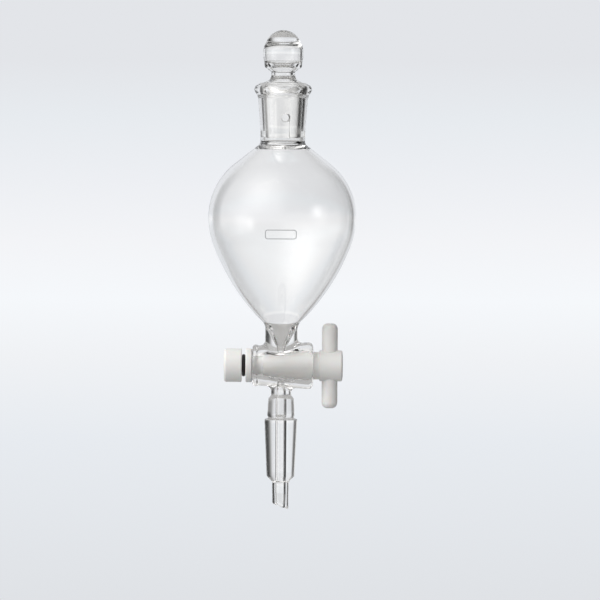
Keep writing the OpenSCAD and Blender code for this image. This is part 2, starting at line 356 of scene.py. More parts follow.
def net(field, low, high, counts):
    """Points and quads of the surface field = 0 in a box, one point to each cell it crosses."""
    axes = [np.linspace(low[i], high[i], counts[i] + 1) for i in range(3)]
    nodes = np.stack(np.meshgrid(*axes, indexing="ij"), -1)
    value = field(nodes)
    inside = value < 0
    total = np.zeros([c for c in counts] + [3])
    crossings = np.zeros(counts)
    for axis in range(3):
        one = [slice(None)] * 3
        two = [slice(None)] * 3
        one[axis], two[axis] = slice(None, -1), slice(1, None)
        one, two = tuple(one), tuple(two)
        crossed = inside[one] != inside[two]
        share = np.where(crossed, value[one] / np.where(crossed, value[one] - value[two], 1), 0)
        at = nodes[one] + share[..., None] * (nodes[two] - nodes[one])
        others = [a for a in range(3) if a != axis]
        for da in (0, 1):
            for db in (0, 1):
                cut = [slice(None)] * 3
                cut[others[0]] = slice(da, counts[others[0]] + da)
                cut[others[1]] = slice(db, counts[others[1]] + db)
                cut = tuple(cut)
                total += at[cut] * crossed[cut][..., None]
                crossings += crossed[cut]
    active = crossings > 0
    numbers = -np.ones(counts, int)
    numbers[active] = np.arange(active.sum())
    points = total[active] / crossings[active][:, None]
    quads = []
    for axis in range(3):
        b, c = [a for a in range(3) if a != axis]
        one = [slice(1, -1)] * 3
        two = [slice(1, -1)] * 3
        one[axis], two[axis] = slice(None, -1), slice(1, None)
        cells = np.argwhere(inside[tuple(one)] != inside[tuple(two)])
        cells[:, b] += 1
        cells[:, c] += 1
        corner = []
        for db, dc in ((0, 0), (1, 0), (1, 1), (0, 1)):
            at = cells.copy()
            at[:, b] -= db
            at[:, c] -= dc
            corner.append(numbers[tuple(at.T)])
        quads.append(np.stack(corner, 1))
    return points, np.concatenate(quads), np.argwhere(active)


def open_loops(quads):
    """The borders of an open surface, each as a chain of point numbers."""
    seen = {}
    for quad in quads:
        for a, b in zip(quad, np.roll(quad, -1)):
            key = (min(a, b), max(a, b))
            seen[key] = seen.get(key, 0) + 1
    near = {}
    for (a, b), uses in seen.items():
        if uses == 1:
            near.setdefault(a, []).append(b)
            near.setdefault(b, []).append(a)
    loops, left = [], set(near)
    while left:
        chain = [min(left)]
        left.discard(chain[0])
        while True:
            following = [n for n in near[chain[-1]] if n in left]
            if not following:
                break
            chain.append(following[0])
            left.discard(following[0])
        loops.append(np.array(chain))
    return loops


def settled(field, points, rounds=5):
    """Points moved onto the surface field = 0."""
    for _ in range(rounds):
        steep = slope(field, points)
        step = field(points)[:, None] * steep / np.maximum((steep ** 2).sum(1), 0.25)[:, None]
        points = points - np.clip(step, -0.15, 0.15)
    return points


def barrel_skin(skin):
    """Adds the stopcock's glass and returns its open rims: {(upper, outer): (numbers, angles)}."""
    step = NET_STEP
    levels = int(round((UPPER_SEAM_Z - LOWER_SEAM_Z) / step))
    rise = (UPPER_SEAM_Z - LOWER_SEAM_Z) / levels
    low = np.array([BARREL_LOW[0] - 2 * step, -BARREL_HIGH[1] - 2 * step, LOWER_SEAM_Z - rise / 2])
    high = np.array([BARREL_HIGH[0] + 2 * step, BARREL_HIGH[1] + 2 * step, UPPER_SEAM_Z + rise / 2])
    counts = [int(math.ceil((high[0] - low[0]) / step)), int(math.ceil((high[1] - low[1]) / step)),
              levels + 1]
    points, quads, cells = net(barrel_field, low, high, counts)
    points = settled(barrel_field, points)
    rims = {}
    for chain in open_loops(quads):
        upper = cells[chain[0], 2] > 0
        z = UPPER_SEAM_Z if upper else LOWER_SEAM_Z
        r = np.hypot(points[chain, 0], points[chain, 1]).mean()
        bore = side_neck_bore(UPPER_SEAM_Z) if upper else PORT_R
        wall = SIDE_NECK_R if upper else SHANK_R
        outer = abs(r - wall) < abs(r - bore)
        angles = np.unwrap(np.arctan2(points[chain, 1], points[chain, 0]))
        if angles[-1] < angles[0]:
            chain, angles = chain[::-1], angles[::-1]
        angles = np.sort(angles)
        r = wall if outer else bore
        points[chain] = np.stack([r * np.cos(angles), r * np.sin(angles), z + 0 * angles], 1)
        rims[(bool(upper), bool(outer))] = (chain, angles)
    numbers = skin.add(points)
    for quad in quads:
        skin.faces.append(tuple(numbers[quad]))
    return {key: (numbers[chain], angles) for key, (chain, angles) in rims.items()}


def join_ring(skin, rim, ring, start):
    """Zips a lathed ring, whose first point lies at the angle start, to a rim of the barrel."""
    angles = start + np.arange(len(ring)) * TAU / len(ring)
    skin.zip_rings(rim[0], rim[1], ring, angles)


def upper_outlines():
    """The bulb and neck's outline in five stretches; the second and fourth lie by the vent."""
    vent_z = VENT_Z + np.linspace(-VENT_HALF, VENT_HALF, 17)
    neck_foot = shoulder_z(0, NECK_R + 0.35)
    outer_low = np.concatenate([
        rounded([(SIDE_NECK_R, UPPER_SEAM_Z + 0.35, 0), (SIDE_NECK_R, BULB_LOW[2], 5),
                 (*bulb_curve(0)[0], 0)]),
        bulb_curve(0)[1:-1],
        rounded([(*bulb_curve(0)[-1], 0), (NECK_R + 0.35, neck_foot, 2.2),
                 (neck_outer(vent_z[0] - 0.5), vent_z[0] - 0.5, 0)], 5)])
    outer_vent = np.stack([neck_outer(vent_z), vent_z], 1)
    bead_c = (BEAD_X, RIM_Z - BEAD_DROP)
    rim = np.concatenate([
        [[neck_outer(vent_z[-1] + 0.5), vent_z[-1] + 0.5]],
        rounded([(neck_outer(RIM_Z - 9), RIM_Z - 9, 0),
                 (neck_outer(RIM_Z - 6.7), RIM_Z - 6.7, 1.2),
                 (*arc(bead_c, BEAD_R, -45, 75)[0], 0)]),
        arc(bead_c, BEAD_R, -45, 75, 6)[1:],
        rounded([(*arc(bead_c, BEAD_R, -45, 75)[-1], 0), (SOCKET_R + RIM_FLAT, RIM_Z, 0.5),
                 (SOCKET_R, RIM_Z, 0.4),
                 (socket_r(vent_z[-1] + 0.5), vent_z[-1] + 0.5, 0)])[1:]])
    inner_vent = np.stack([socket_r(vent_z[::-1]), vent_z[::-1]], 1)
    throat = socket_r(BULB_HIGH[2]) - THROAT_IN
    inner_low = np.concatenate([
        rounded([(socket_r(vent_z[0] - 0.5), vent_z[0] - 0.5, 0), (throat, BULB_HIGH[2], 0.8),
                 (throat - 0.8, SEAL_Z + 0.6, 0.5), (throat - 0.7, SEAL_Z - 0.6, 0.5),
                 (throat + 1.0, SEAL_Z - 0.8, 0.7), (11.5, shoulder_z(WALL, 11.5), 1.5),
                 (*bulb_curve(WALL)[-1], 0)], 8),
        bulb_curve(WALL)[::-1][1:-1],
        bend(bulb_curve(WALL)[0], (SIDE_NECK_BORE, BULB_LOW[2]),
             (side_neck_bore(UPPER_SEAM_Z + 0.35), UPPER_SEAM_Z + 0.35))])
    return [filled_in(outer_low, 2.2), outer_vent, filled_in(rim, 1.5), inner_vent,
            filled_in(inner_low, 2.2)]


def vent_hole(skin, outer, inner):
    """Opens the vent through the neck between two blocks of rows, both given from below up."""
    turn = math.radians(VENT_TURN - 90)
    forward = np.array([math.cos(turn), math.sin(turn), 0])
    across = np.array([-math.sin(turn), math.cos(turn), 0])
    upward = np.array([0, 0, 1.0])

    def place(uv, depth):
        return (np.outer(uv[:, 0], across) + np.outer(uv[:, 1] + VENT_Z, upward)
                + np.outer(depth, forward))

    def end(numbers, fillet, radius):
        points = np.concatenate(skin.points)[numbers]
        uv = np.stack([points @ across, points[:, 2] - VENT_Z], 1)
        depth = lambda at: np.sqrt(radius(at[:, 1] + VENT_Z) ** 2 - at[:, 0] ** 2)
        return numbers, uv, depth, fillet

    skin.tunnel([end(outer, VENT_ROUND_OUT, neck_outer), end(inner, VENT_ROUND_IN, socket_r)],
                place, VENT_R)


def upper_glass(skin, rims):
    """Neck and bulb, lathed inside and out, with the vent hole through the neck."""
    stretches = upper_outlines()
    start = math.radians(VENT_TURN - 90)
    numbers = skin.add(spun(np.concatenate(stretches), ROUND, start))
    first = np.cumsum([0] + [len(s) for s in stretches])
    cells, border = block(len(stretches[1]) - 1, VENT_COLUMNS, ROUND)
    skip = {(row + first[1], column) for row, column in cells}
    skip |= {(row + first[3], column) for row, column in cells}
    skin.rings(numbers, skip)
    top = first[4] - 1
    outer = np.array([numbers[first[1] + row, column] for row, column in border])
    inner = np.array([numbers[top - row, column] for row, column in border])
    vent_hole(skin, outer, inner)
    join_ring(skin, rims[(True, True)], numbers[0], start)
    join_ring(skin, rims[(True, False)], numbers[-1], start)


def outlet_outline():
    """Bulge, ground cone and drip tip from the barrel down, then the bore back up."""
    cone_end = -CONE_L
    end_r = CONE_HIGH[0] + JOINT_TAPER * cone_end
    tip_z = CONE_LOW[2] + TIP_R * TIP_SLOPE
    return filled_in(rounded([
        (SHANK_R, LOWER_SEAM_Z - 0.3, 0), (SHANK_R + 0.1, 11.2, 0.9), (BULGE_R - 0.35, 9.9, 1.9),
        (BULGE_R + 0.05, 2.2, 1.5), (BULGE_R - 0.5, 1.1, 0.7), (CONE_HIGH[0] - 0.1, 0.5, 0.6),
        (end_r, cone_end, 1.4), (TIP_R + 0.15, cone_end - 2.4, 2.2), (TIP_R, tip_z, 0.5),
        (OUTLET_BORE - 0.2, tip_z, 0.45), (OUTLET_BORE, tip_z + 6, 4), (OUTLET_BORE, 0.9, 1.2),
        (OUTLET_BORE - 0.45, 1.7, 0.5), (OUTLET_BORE, 2.5, 1.2), (OUTLET_BORE, 9, 6),
        (PORT_R, LOWER_SEAM_Z - 0.3, 0)]), 1.5)


def outlet_glass(skin, rims):
    """The outlet, lathed, with its drip tip slanted by sliding the end's rings along the tube."""
    points = spun(outlet_outline())
    whole, none = CONE_LOW[2] + SLANT_WHOLE, CONE_LOW[2] + SLANT_NONE
    share = np.clip((none - points[..., 2]) / (none - whole), 0, 1)
    points[..., 2] -= points[..., 0] * TIP_SLOPE * share * share * (3 - 2 * share)
    numbers = skin.add(points)
    skin.rings(numbers)
    join_ring(skin, rims[(False, True)], numbers[0], 0.0)
    join_ring(skin, rims[(False, False)], numbers[-1], 0.0)


def funnel_glass(material):
    """The glass body as the flame leaves it: neck, bulb, barrel and outlet in one piece."""
    skin = Skin()
    rims = barrel_skin(skin)
    upper_glass(skin, rims)
    outlet_glass(skin, rims)
    return skin.piece("funnel_glass", material, "funnel",
                      ["neck_socket", "bulb", "stopcock_barrel", "outlet_cone"])


# ---- The stopper -------------------------------------------------------------------

STOPPER_GAP = 0.05
GROOVE_WIDTH, GROOVE_DEPTH = 4.2, 0.75
HEAD_R, WAIST_R, STOPPER_WALL = 9.0, 5.3, 1.6
CROWN_ROUND, SIDE_ROUND, SIDE_DROP = 8.1, 14, 10.6        # the head's arcs, drops from its top
FOOT_ROUND, FOOT_INSET, FOOT_DROP = 1.6, 2.2, 15.9
HOLLOW_DROP = 5.5           # from the top of the head to the top of its hollow


def stopper_outline():
    """From the top of the head down the outside, round the open end and up the inside."""
    top, foot = STOPPER_HIGH[2], STOPPER_LOW[2]
    foot_r = socket_r(foot) - STOPPER_GAP
    shoulder = RIM_Z - 0.9
    side_c = (HEAD_R - SIDE_ROUND, top - SIDE_DROP)
    foot_c = (HEAD_R - FOOT_INSET, top - FOOT_DROP)
    foot_end = arc(foot_c, FOOT_ROUND, -10, -60)[-1]
    outside = np.concatenate([
        arc((0, top - CROWN_ROUND), CROWN_ROUND, 90, 30, 5),
        arc(side_c, SIDE_ROUND, 16, -14, 3),
        arc(foot_c, FOOT_ROUND, -10, -60, 8),
        rounded([(*foot_end, 0),
                 (WAIST_R + 1.6, top - 17.7, 0.8), (WAIST_R, RIM_Z + 4.9, 0.8),
                 (WAIST_R, RIM_Z + 3.4, 2.0), (WAIST_R + 0.7, RIM_Z + 1.4, 1.4),
                 (SOCKET_R - 0.6, RIM_Z + 0.15, 0.9),
                 (socket_r(shoulder) - STOPPER_GAP, shoulder, 0.5), (foot_r, foot, 0.7),
                 (foot_r - STOPPER_WALL, foot, 0.7),
                 (socket_r(RIM_Z - 3) - STOPPER_WALL, RIM_Z - 3.4, 2.2),
                 (WAIST_R - 1.7, RIM_Z, 1.6), (WAIST_R - 1.7, top - 17.5, 1.2),
                 (HEAD_R - 4, top - 16.4, 2.0), (HEAD_R - 1.25, top - 14.2, 2.6),
                 (HEAD_R - 1.15, top - 7.9, 2.8), (HEAD_R - 4, top - 5.7, 2.4),
                 (0.35, top - HOLLOW_DROP, 0)], 7)[1:]])
    return filled_in(outside[1:], 1.3)


def stopper_glass(material):
    """The hollow stopper, with a vent groove pressed into its plug in line with the vent hole."""
    start = math.radians(VENT_TURN - 90)
    count = 2 * ROUND
    points = spun(stopper_outline(), count, start)
    turn = np.angle(np.exp(1j * np.arange(count) * TAU / count))
    r = np.hypot(points[..., 0], points[..., 1])
    off = np.abs(turn)[None, :] * r / (GROOVE_WIDTH / 2)
    across = np.where(off < 1, np.cos(np.clip(off, 0, 1) * math.pi / 2) ** 0.8, 0)
    end_z = VENT_Z + VENT_R
    along = np.clip((end_z + 0.6 - points[..., 2]) / 2.4, 0, 1)
    depth = GROOVE_DEPTH * across * along * along * (3 - 2 * along)
    inward = 1 - depth / np.maximum(r, 1)
    points[..., 0] *= inward
    points[..., 1] *= inward
    skin = Skin()
    numbers = skin.add(points)
    skin.rings(numbers)
    skin.cap(numbers[0], (0, 0, STOPPER_HIGH[2]))
    skin.cap(numbers[-1], (0, 0, STOPPER_HIGH[2] - HOLLOW_DROP))
    return skin.piece("stopper_glass", material, "stopper", ["stopper"])


# ---- The stopcock's loose pieces -----------------------------------------------------

PLUG_GAP = 0.05
STEM_R = 4.1
PLUG_X0, COLLAR_X, HUB_X0 = -8.1, BARREL_HIGH[0], 17.1
COLLAR_R, HUB_R, HUB_ROUND = 6.15, PLUG_HIGH[1], 1.2
TAIL_R, TAIL_FLAT, PITCH, THREAD_DEPTH = 3.0, 2.5, 1.5, 0.4
ROD_X, ROD_R, ROD_ROUND = (ROD_LOW[0] + ROD_HIGH[0]) / 2, ROD_HIGH[1], 2.5
NUT_HOLE_R = 3.05
PORT_HALF, PORT_COLUMNS, PORT_ROUND = 2.4, 11, 0.3        # blocks opened for the port and for the
GRIP_HALF, GRIP_COLUMNS, GRIP_ROUND = 4.0, 17, 0.18       # handle: half lengths, half columns, edges
GRIP_GAP = 0.03


def tap_bore(x):
    return TAP_BORE_R + TAP_TAPER * x


def plug_r(x):
    return tap_bore(x) - PLUG_GAP


def thread(points, low, high, depth):
    """Cuts a helical thread of that depth into the rings between x = low and x = high."""
    x, y, z = points[..., 0], points[..., 1], points[..., 2] - TAP_Z
    phase = x / PITCH + np.arctan2(z, y) / TAU
    groove = 0.5 - 0.5 * np.cos(TAU * phase)
    fade = np.clip(np.minimum(x - low, high - x) / (PITCH / 2), 0, 1)
    factor = 1 - depth * groove * fade / np.maximum(np.hypot(y, z), 1)
    points[..., 1] = y * factor
    points[..., 2] = z * factor + TAP_Z
    return points


def cross_hole(skin, numbers, first, rows, half_columns, centre_x, wall_r, radius, fillet):
    """Opens an upright hole through a piece lathed along the tap, between rows first and last."""
    _, below = block(rows, half_columns, ROUND)
    _, above = block(rows, half_columns, ROUND, ROUND // 2, mirrored=True)
    points = np.concatenate(skin.points)

    def end(border, side):
        chosen = np.array([numbers[first + row, column] for row, column in border])
        uv = points[chosen][:, :2] - (centre_x, 0)
        depth = lambda at: side * np.sqrt(wall_r(at[:, 0] + centre_x) ** 2 - at[:, 1] ** 2)
        return chosen, uv, depth, fillet

    def place(uv, depth):
        return np.stack([uv[:, 0] + centre_x, uv[:, 1], depth + TAP_Z], 1)

    skin.tunnel([end(above, 1), end(below, -1)], place, radius)


def hole_cells(first, rows, half_columns):
    """Cells left open in the lathed grid for both mouths of a cross hole."""
    below, _ = block(rows, half_columns, ROUND)
    above, _ = block(rows, half_columns, ROUND, ROUND // 2)
    return {(first + row, column) for row, column in below | above}


def plug_ptfe(material):
    """Plug, hub and threaded tail, with the port and the handle's hole through it."""
    port_x = np.linspace(-PORT_HALF, PORT_HALF, 17)
    grip_x = ROD_X + np.linspace(-GRIP_HALF, GRIP_HALF, 17)
    tail_x = PLUG_LOW[0]
    stem_x = WASHER_HIGH[0] + 0.1
    port = np.stack([plug_r(port_x), port_x], 1)
    grip = np.stack([0 * grip_x + HUB_R, grip_x], 1)
    tail = filled_in(rounded([(0.3, tail_x, 0), (TAIL_R, tail_x, 0.4), (TAIL_R, stem_x, 0)]), 0.16)
    small_end = filled_in(rounded([
        (TAIL_R + 0.05, stem_x, 0), (STEM_R, stem_x, 0.25), (STEM_R, PLUG_X0, 0.3),
        (plug_r(PLUG_X0), PLUG_X0, 0.35), (plug_r(port_x[0] - 0.3), port_x[0] - 0.3, 0)]), 0.8)
    collar = filled_in(rounded([
        (plug_r(port_x[-1] + 0.3), port_x[-1] + 0.3, 0), (plug_r(COLLAR_X), COLLAR_X, 0.3),
        (COLLAR_R, COLLAR_X + 0.1, 0.4), (COLLAR_R, HUB_X0, 0.4), (HUB_R, HUB_X0, 0.3),
        (HUB_R, grip_x[0] - 0.05, 0)]), 0.8)
    end_x = PLUG_HIGH[0]
    cap = filled_in(rounded([
        (HUB_R, grip_x[-1] + 0.1, 0), (HUB_R, end_x - 0.35, HUB_ROUND),
        (HUB_R - 2.4, end_x, 1.2), (0.3, end_x, 0)]), 0.8)
    stretches = [tail, small_end, port, collar, grip, cap]
    first = np.cumsum([0] + [len(s) for s in stretches])
    points = along_tap(spun(np.concatenate(stretches)))
    points = thread(points, tail_x + 0.2, NUT_HIGH[0] - 0.2, THREAD_DEPTH)
    flat = points[:len(tail)]
    flat[..., 1] = np.clip(flat[..., 1], -TAIL_FLAT, TAIL_FLAT)
    skin = Skin()
    numbers = skin.add(points)
    skip = hole_cells(first[2], len(port) - 1, PORT_COLUMNS)
    skip |= hole_cells(first[4], len(grip) - 1, GRIP_COLUMNS)
    skin.rings(numbers, skip)
    skin.cap(numbers[0], (tail_x, 0, TAP_Z))
    skin.cap(numbers[-1], (end_x, 0, TAP_Z))
    cross_hole(skin, numbers, first[2], len(port) - 1, PORT_COLUMNS, 0.0, plug_r, PORT_R,
               PORT_ROUND)
    cross_hole(skin, numbers, first[4], len(grip) - 1, GRIP_COLUMNS, ROD_X,
               lambda x: HUB_R + 0 * x, ROD_R + GRIP_GAP, GRIP_ROUND)
    return skin.piece("plug_ptfe", material, "plug", ["stopcock_plug"])


def handle_ptfe(material):
    """The round rod pressed through the hub."""
    half = (ROD_HIGH[2] - ROD_LOW[2]) / 2
    outline = filled_in(np.concatenate([
        [[0.3, -half]],
        arc((ROD_R - ROD_ROUND, ROD_ROUND - half), ROD_ROUND, -90, 0, 6),
        arc((ROD_R - ROD_ROUND, half - ROD_ROUND), ROD_ROUND, 0, 90, 6),
        [[0.3, half]]]), 1.5)
    skin = Skin()
    points = spun(outline) + np.array([ROD_X, 0, TAP_Z])
    numbers = skin.add(points)
    skin.rings(numbers)
    skin.cap(numbers[0], (ROD_X, 0, TAP_Z - half))
    skin.cap(numbers[-1], (ROD_X, 0, TAP_Z + half))
    return skin.piece("handle_ptfe", material, "plug", ["handle_rod"])


def ring_piece(name, outline, material, body, replaced, hole=None):
    """A ring along the tap from a closed (r, x) outline; hole changes its points if given."""
    points = along_tap(spun(outline))
    if hole:
        points = hole(points)
    skin = Skin()
    numbers = skin.add(points)
    skin.rings(np.concatenate([numbers, numbers[:1]]))
    return skin.piece(name, material, body, [replaced])


def closed(points, spacing):
    """A closed rounded outline, without its repeated last point; it starts on a straight side."""
    start = [(points[0][0], (points[0][1] + points[-1][1]) / 2, 0)]
    return filled_in(rounded(start + points + start), spacing)[:-1]


def washer_ptfe(material):
    """The flat washer, keyed to the tail's flats."""
    x0, x1, r = WASHER_LOW[0], WASHER_HIGH[0], WASHER_HIGH[1]
    bore = TAIL_R + 0.1

    def keyed(points):
        inner = np.hypot(points[..., 1], points[..., 2] - TAP_Z) < bore + 0.35
        flat = TAIL_FLAT + 0.1
        points[..., 1] = np.where(inner, np.clip(points[..., 1], -flat, flat), points[..., 1])
        return points

    outline = closed([(bore, x1, 0.2), (r, x1, 0.6), (r, x0, 0.6), (bore, x0, 0.2)], 0.7)
    return ring_piece("washer_ptfe", outline, material, "plug", "washer", keyed)


def nut_ptfe(material):
    """The round lock nut, threaded inside."""
    x0, x1, r = NUT_LOW[0], NUT_HIGH[0], NUT_HIGH[1]

    def threaded(points):
        inner = np.hypot(points[..., 1], points[..., 2] - TAP_Z) < NUT_HOLE_R + 0.02
        cut = thread(points.copy(), x0 + 0.5, x1 - 0.5, -THREAD_DEPTH)
        return np.where(inner[..., None], cut, points)

    outline = closed([(NUT_HOLE_R, x1, 0.4), (r, x1, 0.5), (r, x0, 1.2), (NUT_HOLE_R, x0, 0.5)], 0.2)
    return ring_piece("nut_ptfe", outline, material, "lock_nut", "lock_nut", threaded)


def ring_rubber(material):
    """The O-ring between washer and nut."""
    section = (RING_HIGH[0] - RING_LOW[0]) / 2
    centre = (RING_HIGH[1] - section, (RING_LOW[0] + RING_HIGH[0]) / 2)
    outline = arc(centre, section, 0, 360, 12)[:-1]
    return ring_piece("ring_rubber", outline, material, "o_ring", "o_ring")


# ---- The enamel field ----------------------------------------------------------------

FIELD_X, FIELD_Z = -0.5, 83.8
FIELD_WIDTH, FIELD_HEIGHT, FIELD_ROUND = 14.0, 4.2, 1.2
SIDE_PIECES = 14            # pieces that a straight side is cut into, to follow the bulb
ENAMEL_LINE, ENAMEL_FOOT, ENAMEL_TOP = 0.3, 0.005, 0.03    # width, and heights off the glass


def bulb_front(x, z, lift):
    """Points on the front of the bulb, lifted off the glass."""
    curve = bulb_curve(0)
    r = np.interp(z, curve[:, 1], curve[:, 0]) + lift
    return np.stack([x, -np.sqrt(r * r - x * x), z], -1)


def writing_field(material):
    """A blank field to write on: a thin enamelled outline with round corners."""
    corner = arc((0, 0), 1, 0, 90, 9)
    loop = []
    for turn, (sx, sz) in enumerate(((1, 1), (-1, 1), (-1, -1), (1, -1))):
        spun_by = np.radians(90 * turn)
        turned = corner @ np.array([[math.cos(spun_by), math.sin(spun_by)],
                                    [-math.sin(spun_by), math.cos(spun_by)]])
        centre = np.array([sx * (FIELD_WIDTH / 2 - FIELD_ROUND), sz * (FIELD_HEIGHT / 2 - FIELD_ROUND)])
        loop.append((centre, turned))
    rows = []
    for inset, lift in ((0, ENAMEL_FOOT), (0, ENAMEL_TOP), (ENAMEL_LINE, ENAMEL_TOP),
                        (ENAMEL_LINE, ENAMEL_FOOT)):
        edge = np.concatenate([c + (FIELD_ROUND - inset) * t for c, t in loop])
        pieces = []
        for a, b in zip(edge, np.roll(edge, -1, 0)):
            count = SIDE_PIECES if np.linalg.norm(b - a) > 1 else 1
            pieces.append(a + (b - a) * np.arange(count)[:, None] / count)
        flat = np.concatenate(pieces)
        rows.append(bulb_front(flat[:, 0] + FIELD_X, flat[:, 1] + FIELD_Z, lift))
    skin = Skin()
    numbers = skin.add(np.array(rows))
    skin.rings(np.concatenate([numbers, numbers[:1]]))
    return skin.piece("writing_field", material, "funnel", [])


# ---- Materials -----------------------------------------------------------------------

PAINTED_LIGHT_FADE = 0.3           # length over which the plug's painted light fades out at the collar


class Look:
    """A material being built from nodes round one Principled shader."""

    def __init__(self, name):
        self.material = bpy.data.materials.new(name)
        self.material.use_nodes = True
        self.tree = self.material.node_tree
        self.shader = next(n for n in self.tree.nodes if n.type == "BSDF_PRINCIPLED")

    def node(self, kind, **inputs):
        made = self.tree.nodes.new(kind)
        for name, value in inputs.items():
            made.inputs[name.replace("_", " ")].default_value = value
        return made

    def link(self, source, target):
        self.tree.links.new(source, target)

    def set(self, **values):
        for name, value in values.items():
            self.shader.inputs[name.replace("_", " ")].default_value = value

    def place(self):
        """Object coordinates, in metres."""
        return self.node("ShaderNodeTexCoord").outputs["Object"]

    def noise(self, scale, detail=3.0, stretch=(1, 1, 1)):
        """Noise in the object's own space, stretched along an axis by a small factor."""
        mapping = self.node("ShaderNodeMapping")
        mapping.inputs["Scale"].default_value = stretch
        self.link(self.place(), mapping.inputs["Vector"])
        made = self.node("ShaderNodeTexNoise", Scale=scale, Detail=detail)
        self.link(mapping.outputs["Vector"], made.inputs["Vector"])
        return made.outputs["Fac"]

    def ramp(self, source, low, high, target):
        """Maps a 0 to 1 value to the range low to high on a socket."""
        made = self.node("ShaderNodeMapRange")
        made.inputs["To Min"].default_value = low
        made.inputs["To Max"].default_value = high
        self.link(source, made.inputs["Value"])
        self.link(made.outputs["Result"], target)

    def tint(self, source, low, high):
        """Varies the base colour between two colours."""
        made = self.node("ShaderNodeMix")
        made.data_type = "RGBA"
        colours = [s for s in made.inputs if s.type == "RGBA"]
        colours[0].default_value = (*low, 1)
        colours[1].default_value = (*high, 1)
        self.link(source, made.inputs["Factor"])
        self.link([s for s in made.outputs if s.type == "RGBA"][0], self.shader.inputs["Base Color"])

    def bump(self, source, strength, height):
        made = self.node("ShaderNodeBump", Strength=strength, Distance=height)
        self.link(source, made.inputs["Height"])
        self.link(made.outputs["Normal"], self.shader.inputs["Normal"])


def glass_look():
    """Clear borosilicate, with the faint waves of hand-worked glass."""
    look = Look("clear_glass")
    look.set(Transmission_Weight=1.0, IOR=1.474, Roughness=0.0)
    look.tint(look.noise(60, 2), (0.996, 0.992, 0.984), (1.0, 0.998, 0.992))
    look.bump(look.noise(28, 1), 0.06, 0.001)
    return look.material


def turned_ptfe(name):
    """A PTFE material without its colour: waxy, with fine rings from the lathe."""
    look = Look(name)
    look.set(IOR=1.38, Subsurface_Weight=0.1, Subsurface_Scale=0.0008)
    look.ramp(look.noise(900, 3), 0.30, 0.42, look.shader.inputs["Roughness"])
    look.bump(look.noise(1500, 2, (1.0, 0.05, 0.05)), 0.12, 0.0002)
    return look


def ptfe_look():
    """White PTFE with a faint mottle."""
    look = turned_ptfe("white_ptfe")
    look.tint(look.noise(350, 4), (0.77, 0.765, 0.75), (0.84, 0.835, 0.82))
    return look.material


def plug_look_with_painted_light():
    """The plug's PTFE with painted light: a whiter base colour inside the barrel stands in for light
    reaching it through the glass; from the collar outwards it is about as the rest.
    """
    look = turned_ptfe("white_ptfe_plug_painted_light")
    parts = look.node("ShaderNodeSeparateXYZ")
    look.link(look.place(), parts.inputs["Vector"])
    outside = look.node("ShaderNodeMapRange")
    outside.inputs["From Min"].default_value = COLLAR_X * MM
    outside.inputs["From Max"].default_value = (COLLAR_X + PAINTED_LIGHT_FADE) * MM
    look.link(parts.outputs["X"], outside.inputs["Value"])
    # painted light: the plug's colour is whiter inside the barrel than from the collar outwards
    look.tint(outside.outputs["Result"], (0.99, 0.985, 0.975), (0.80, 0.795, 0.78))
    return look.material


def rubber_look():
    """Black nitrile rubber with a fine dusty grain."""
    look = Look("black_rubber")
    look.set(IOR=1.5)
    look.tint(look.noise(1200, 3), (0.012, 0.012, 0.013), (0.03, 0.03, 0.03))
    look.ramp(look.noise(2500, 2), 0.42, 0.6, look.shader.inputs["Roughness"])
    look.bump(look.noise(4000, 2), 0.2, 0.0001)
    return look.material


def enamel_look():
    """Fired grey enamel, slightly uneven."""
    look = Look("grey_enamel")
    look.tint(look.noise(900, 3), (0.26, 0.27, 0.28), (0.40, 0.41, 0.42))
    look.ramp(look.noise(1500, 2), 0.35, 0.55, look.shader.inputs["Roughness"])
    return look.material


def floor_look():
    """Pale matt floor."""
    look = Look("pale_floor")
    look.tint(look.noise(3, 3), (0.39, 0.39, 0.39), (0.415, 0.415, 0.415))
    look.set(Roughness=0.8)
    return look.material


# ---- Light, floor and camera -----------------------------------------------------------

AIM = Vector((0.0082, 0.0, 0.054))
CAMERA_DISTANCE, CAMERA_RISE, CAMERA_ROLL, LENS = 3.0, 1.5, 0.4, 401.8
FLOOR_Z, FLOOR_R = -0.34, 1.2
SKY = ((-4.1, (0.74, 0.76, 0.79)), (-2.7, (0.80, 0.83, 0.87)), (-2.0, (0.87, 0.885, 0.91)),
       (-1.5, (0.915, 0.937, 0.965)), (-1.0, (0.896, 0.905, 0.93)), (-0.45, (0.845, 0.862, 0.896)),
       (0.05, (0.80, 0.83, 0.865)), (0.55, (0.768, 0.783, 0.815)))


# (degrees off the backdrop's middle, grey) on each side, the backdrop's soft edges, the ceiling
# and the ground with the angles they fade in between, and soft glows as (direction, sharpness,
# (level, colour)). The ground is as bright as the lit floor, to hide the floor's edge.
ROOM_LEFT = ((180, 0.92), (130, 1.2), (84, 1.05), (67, 0.85), (59, 0.10), (44, 0.10), (0, 0.6))
ROOM_RIGHT = ((180, 0.28), (140, 0.10), (100, 0.03), (40, 0.03), (0, 0.6))
PANEL_LEFT, PANEL_RIGHT = (44, 33), (34, 8)
CEILING_LEFT, CEILING_RIGHT, CEILING_RISE = (1.08, 1.07, 1.06), (0.58, 0.58, 0.58), (20, 60)
SIDE_BLEND, CEILING_TURN = 0.2, (-0.4, 0.5)    # where left fades into right, as shares of X
GROUND, GROUND_DROP = (0.44, 0.44, 0.44), (2.5, 11)
GLOWS = (((-0.91, -0.38, -0.12), 40, (1.4, (1, 1, 1))),
         ((0.81, -0.55, 0.17), 110, (2.2, (1, 1, 1))),
         ((-0.50, -0.52, 0.69), 7, (2.1, (1, 0.99, 0.97))))


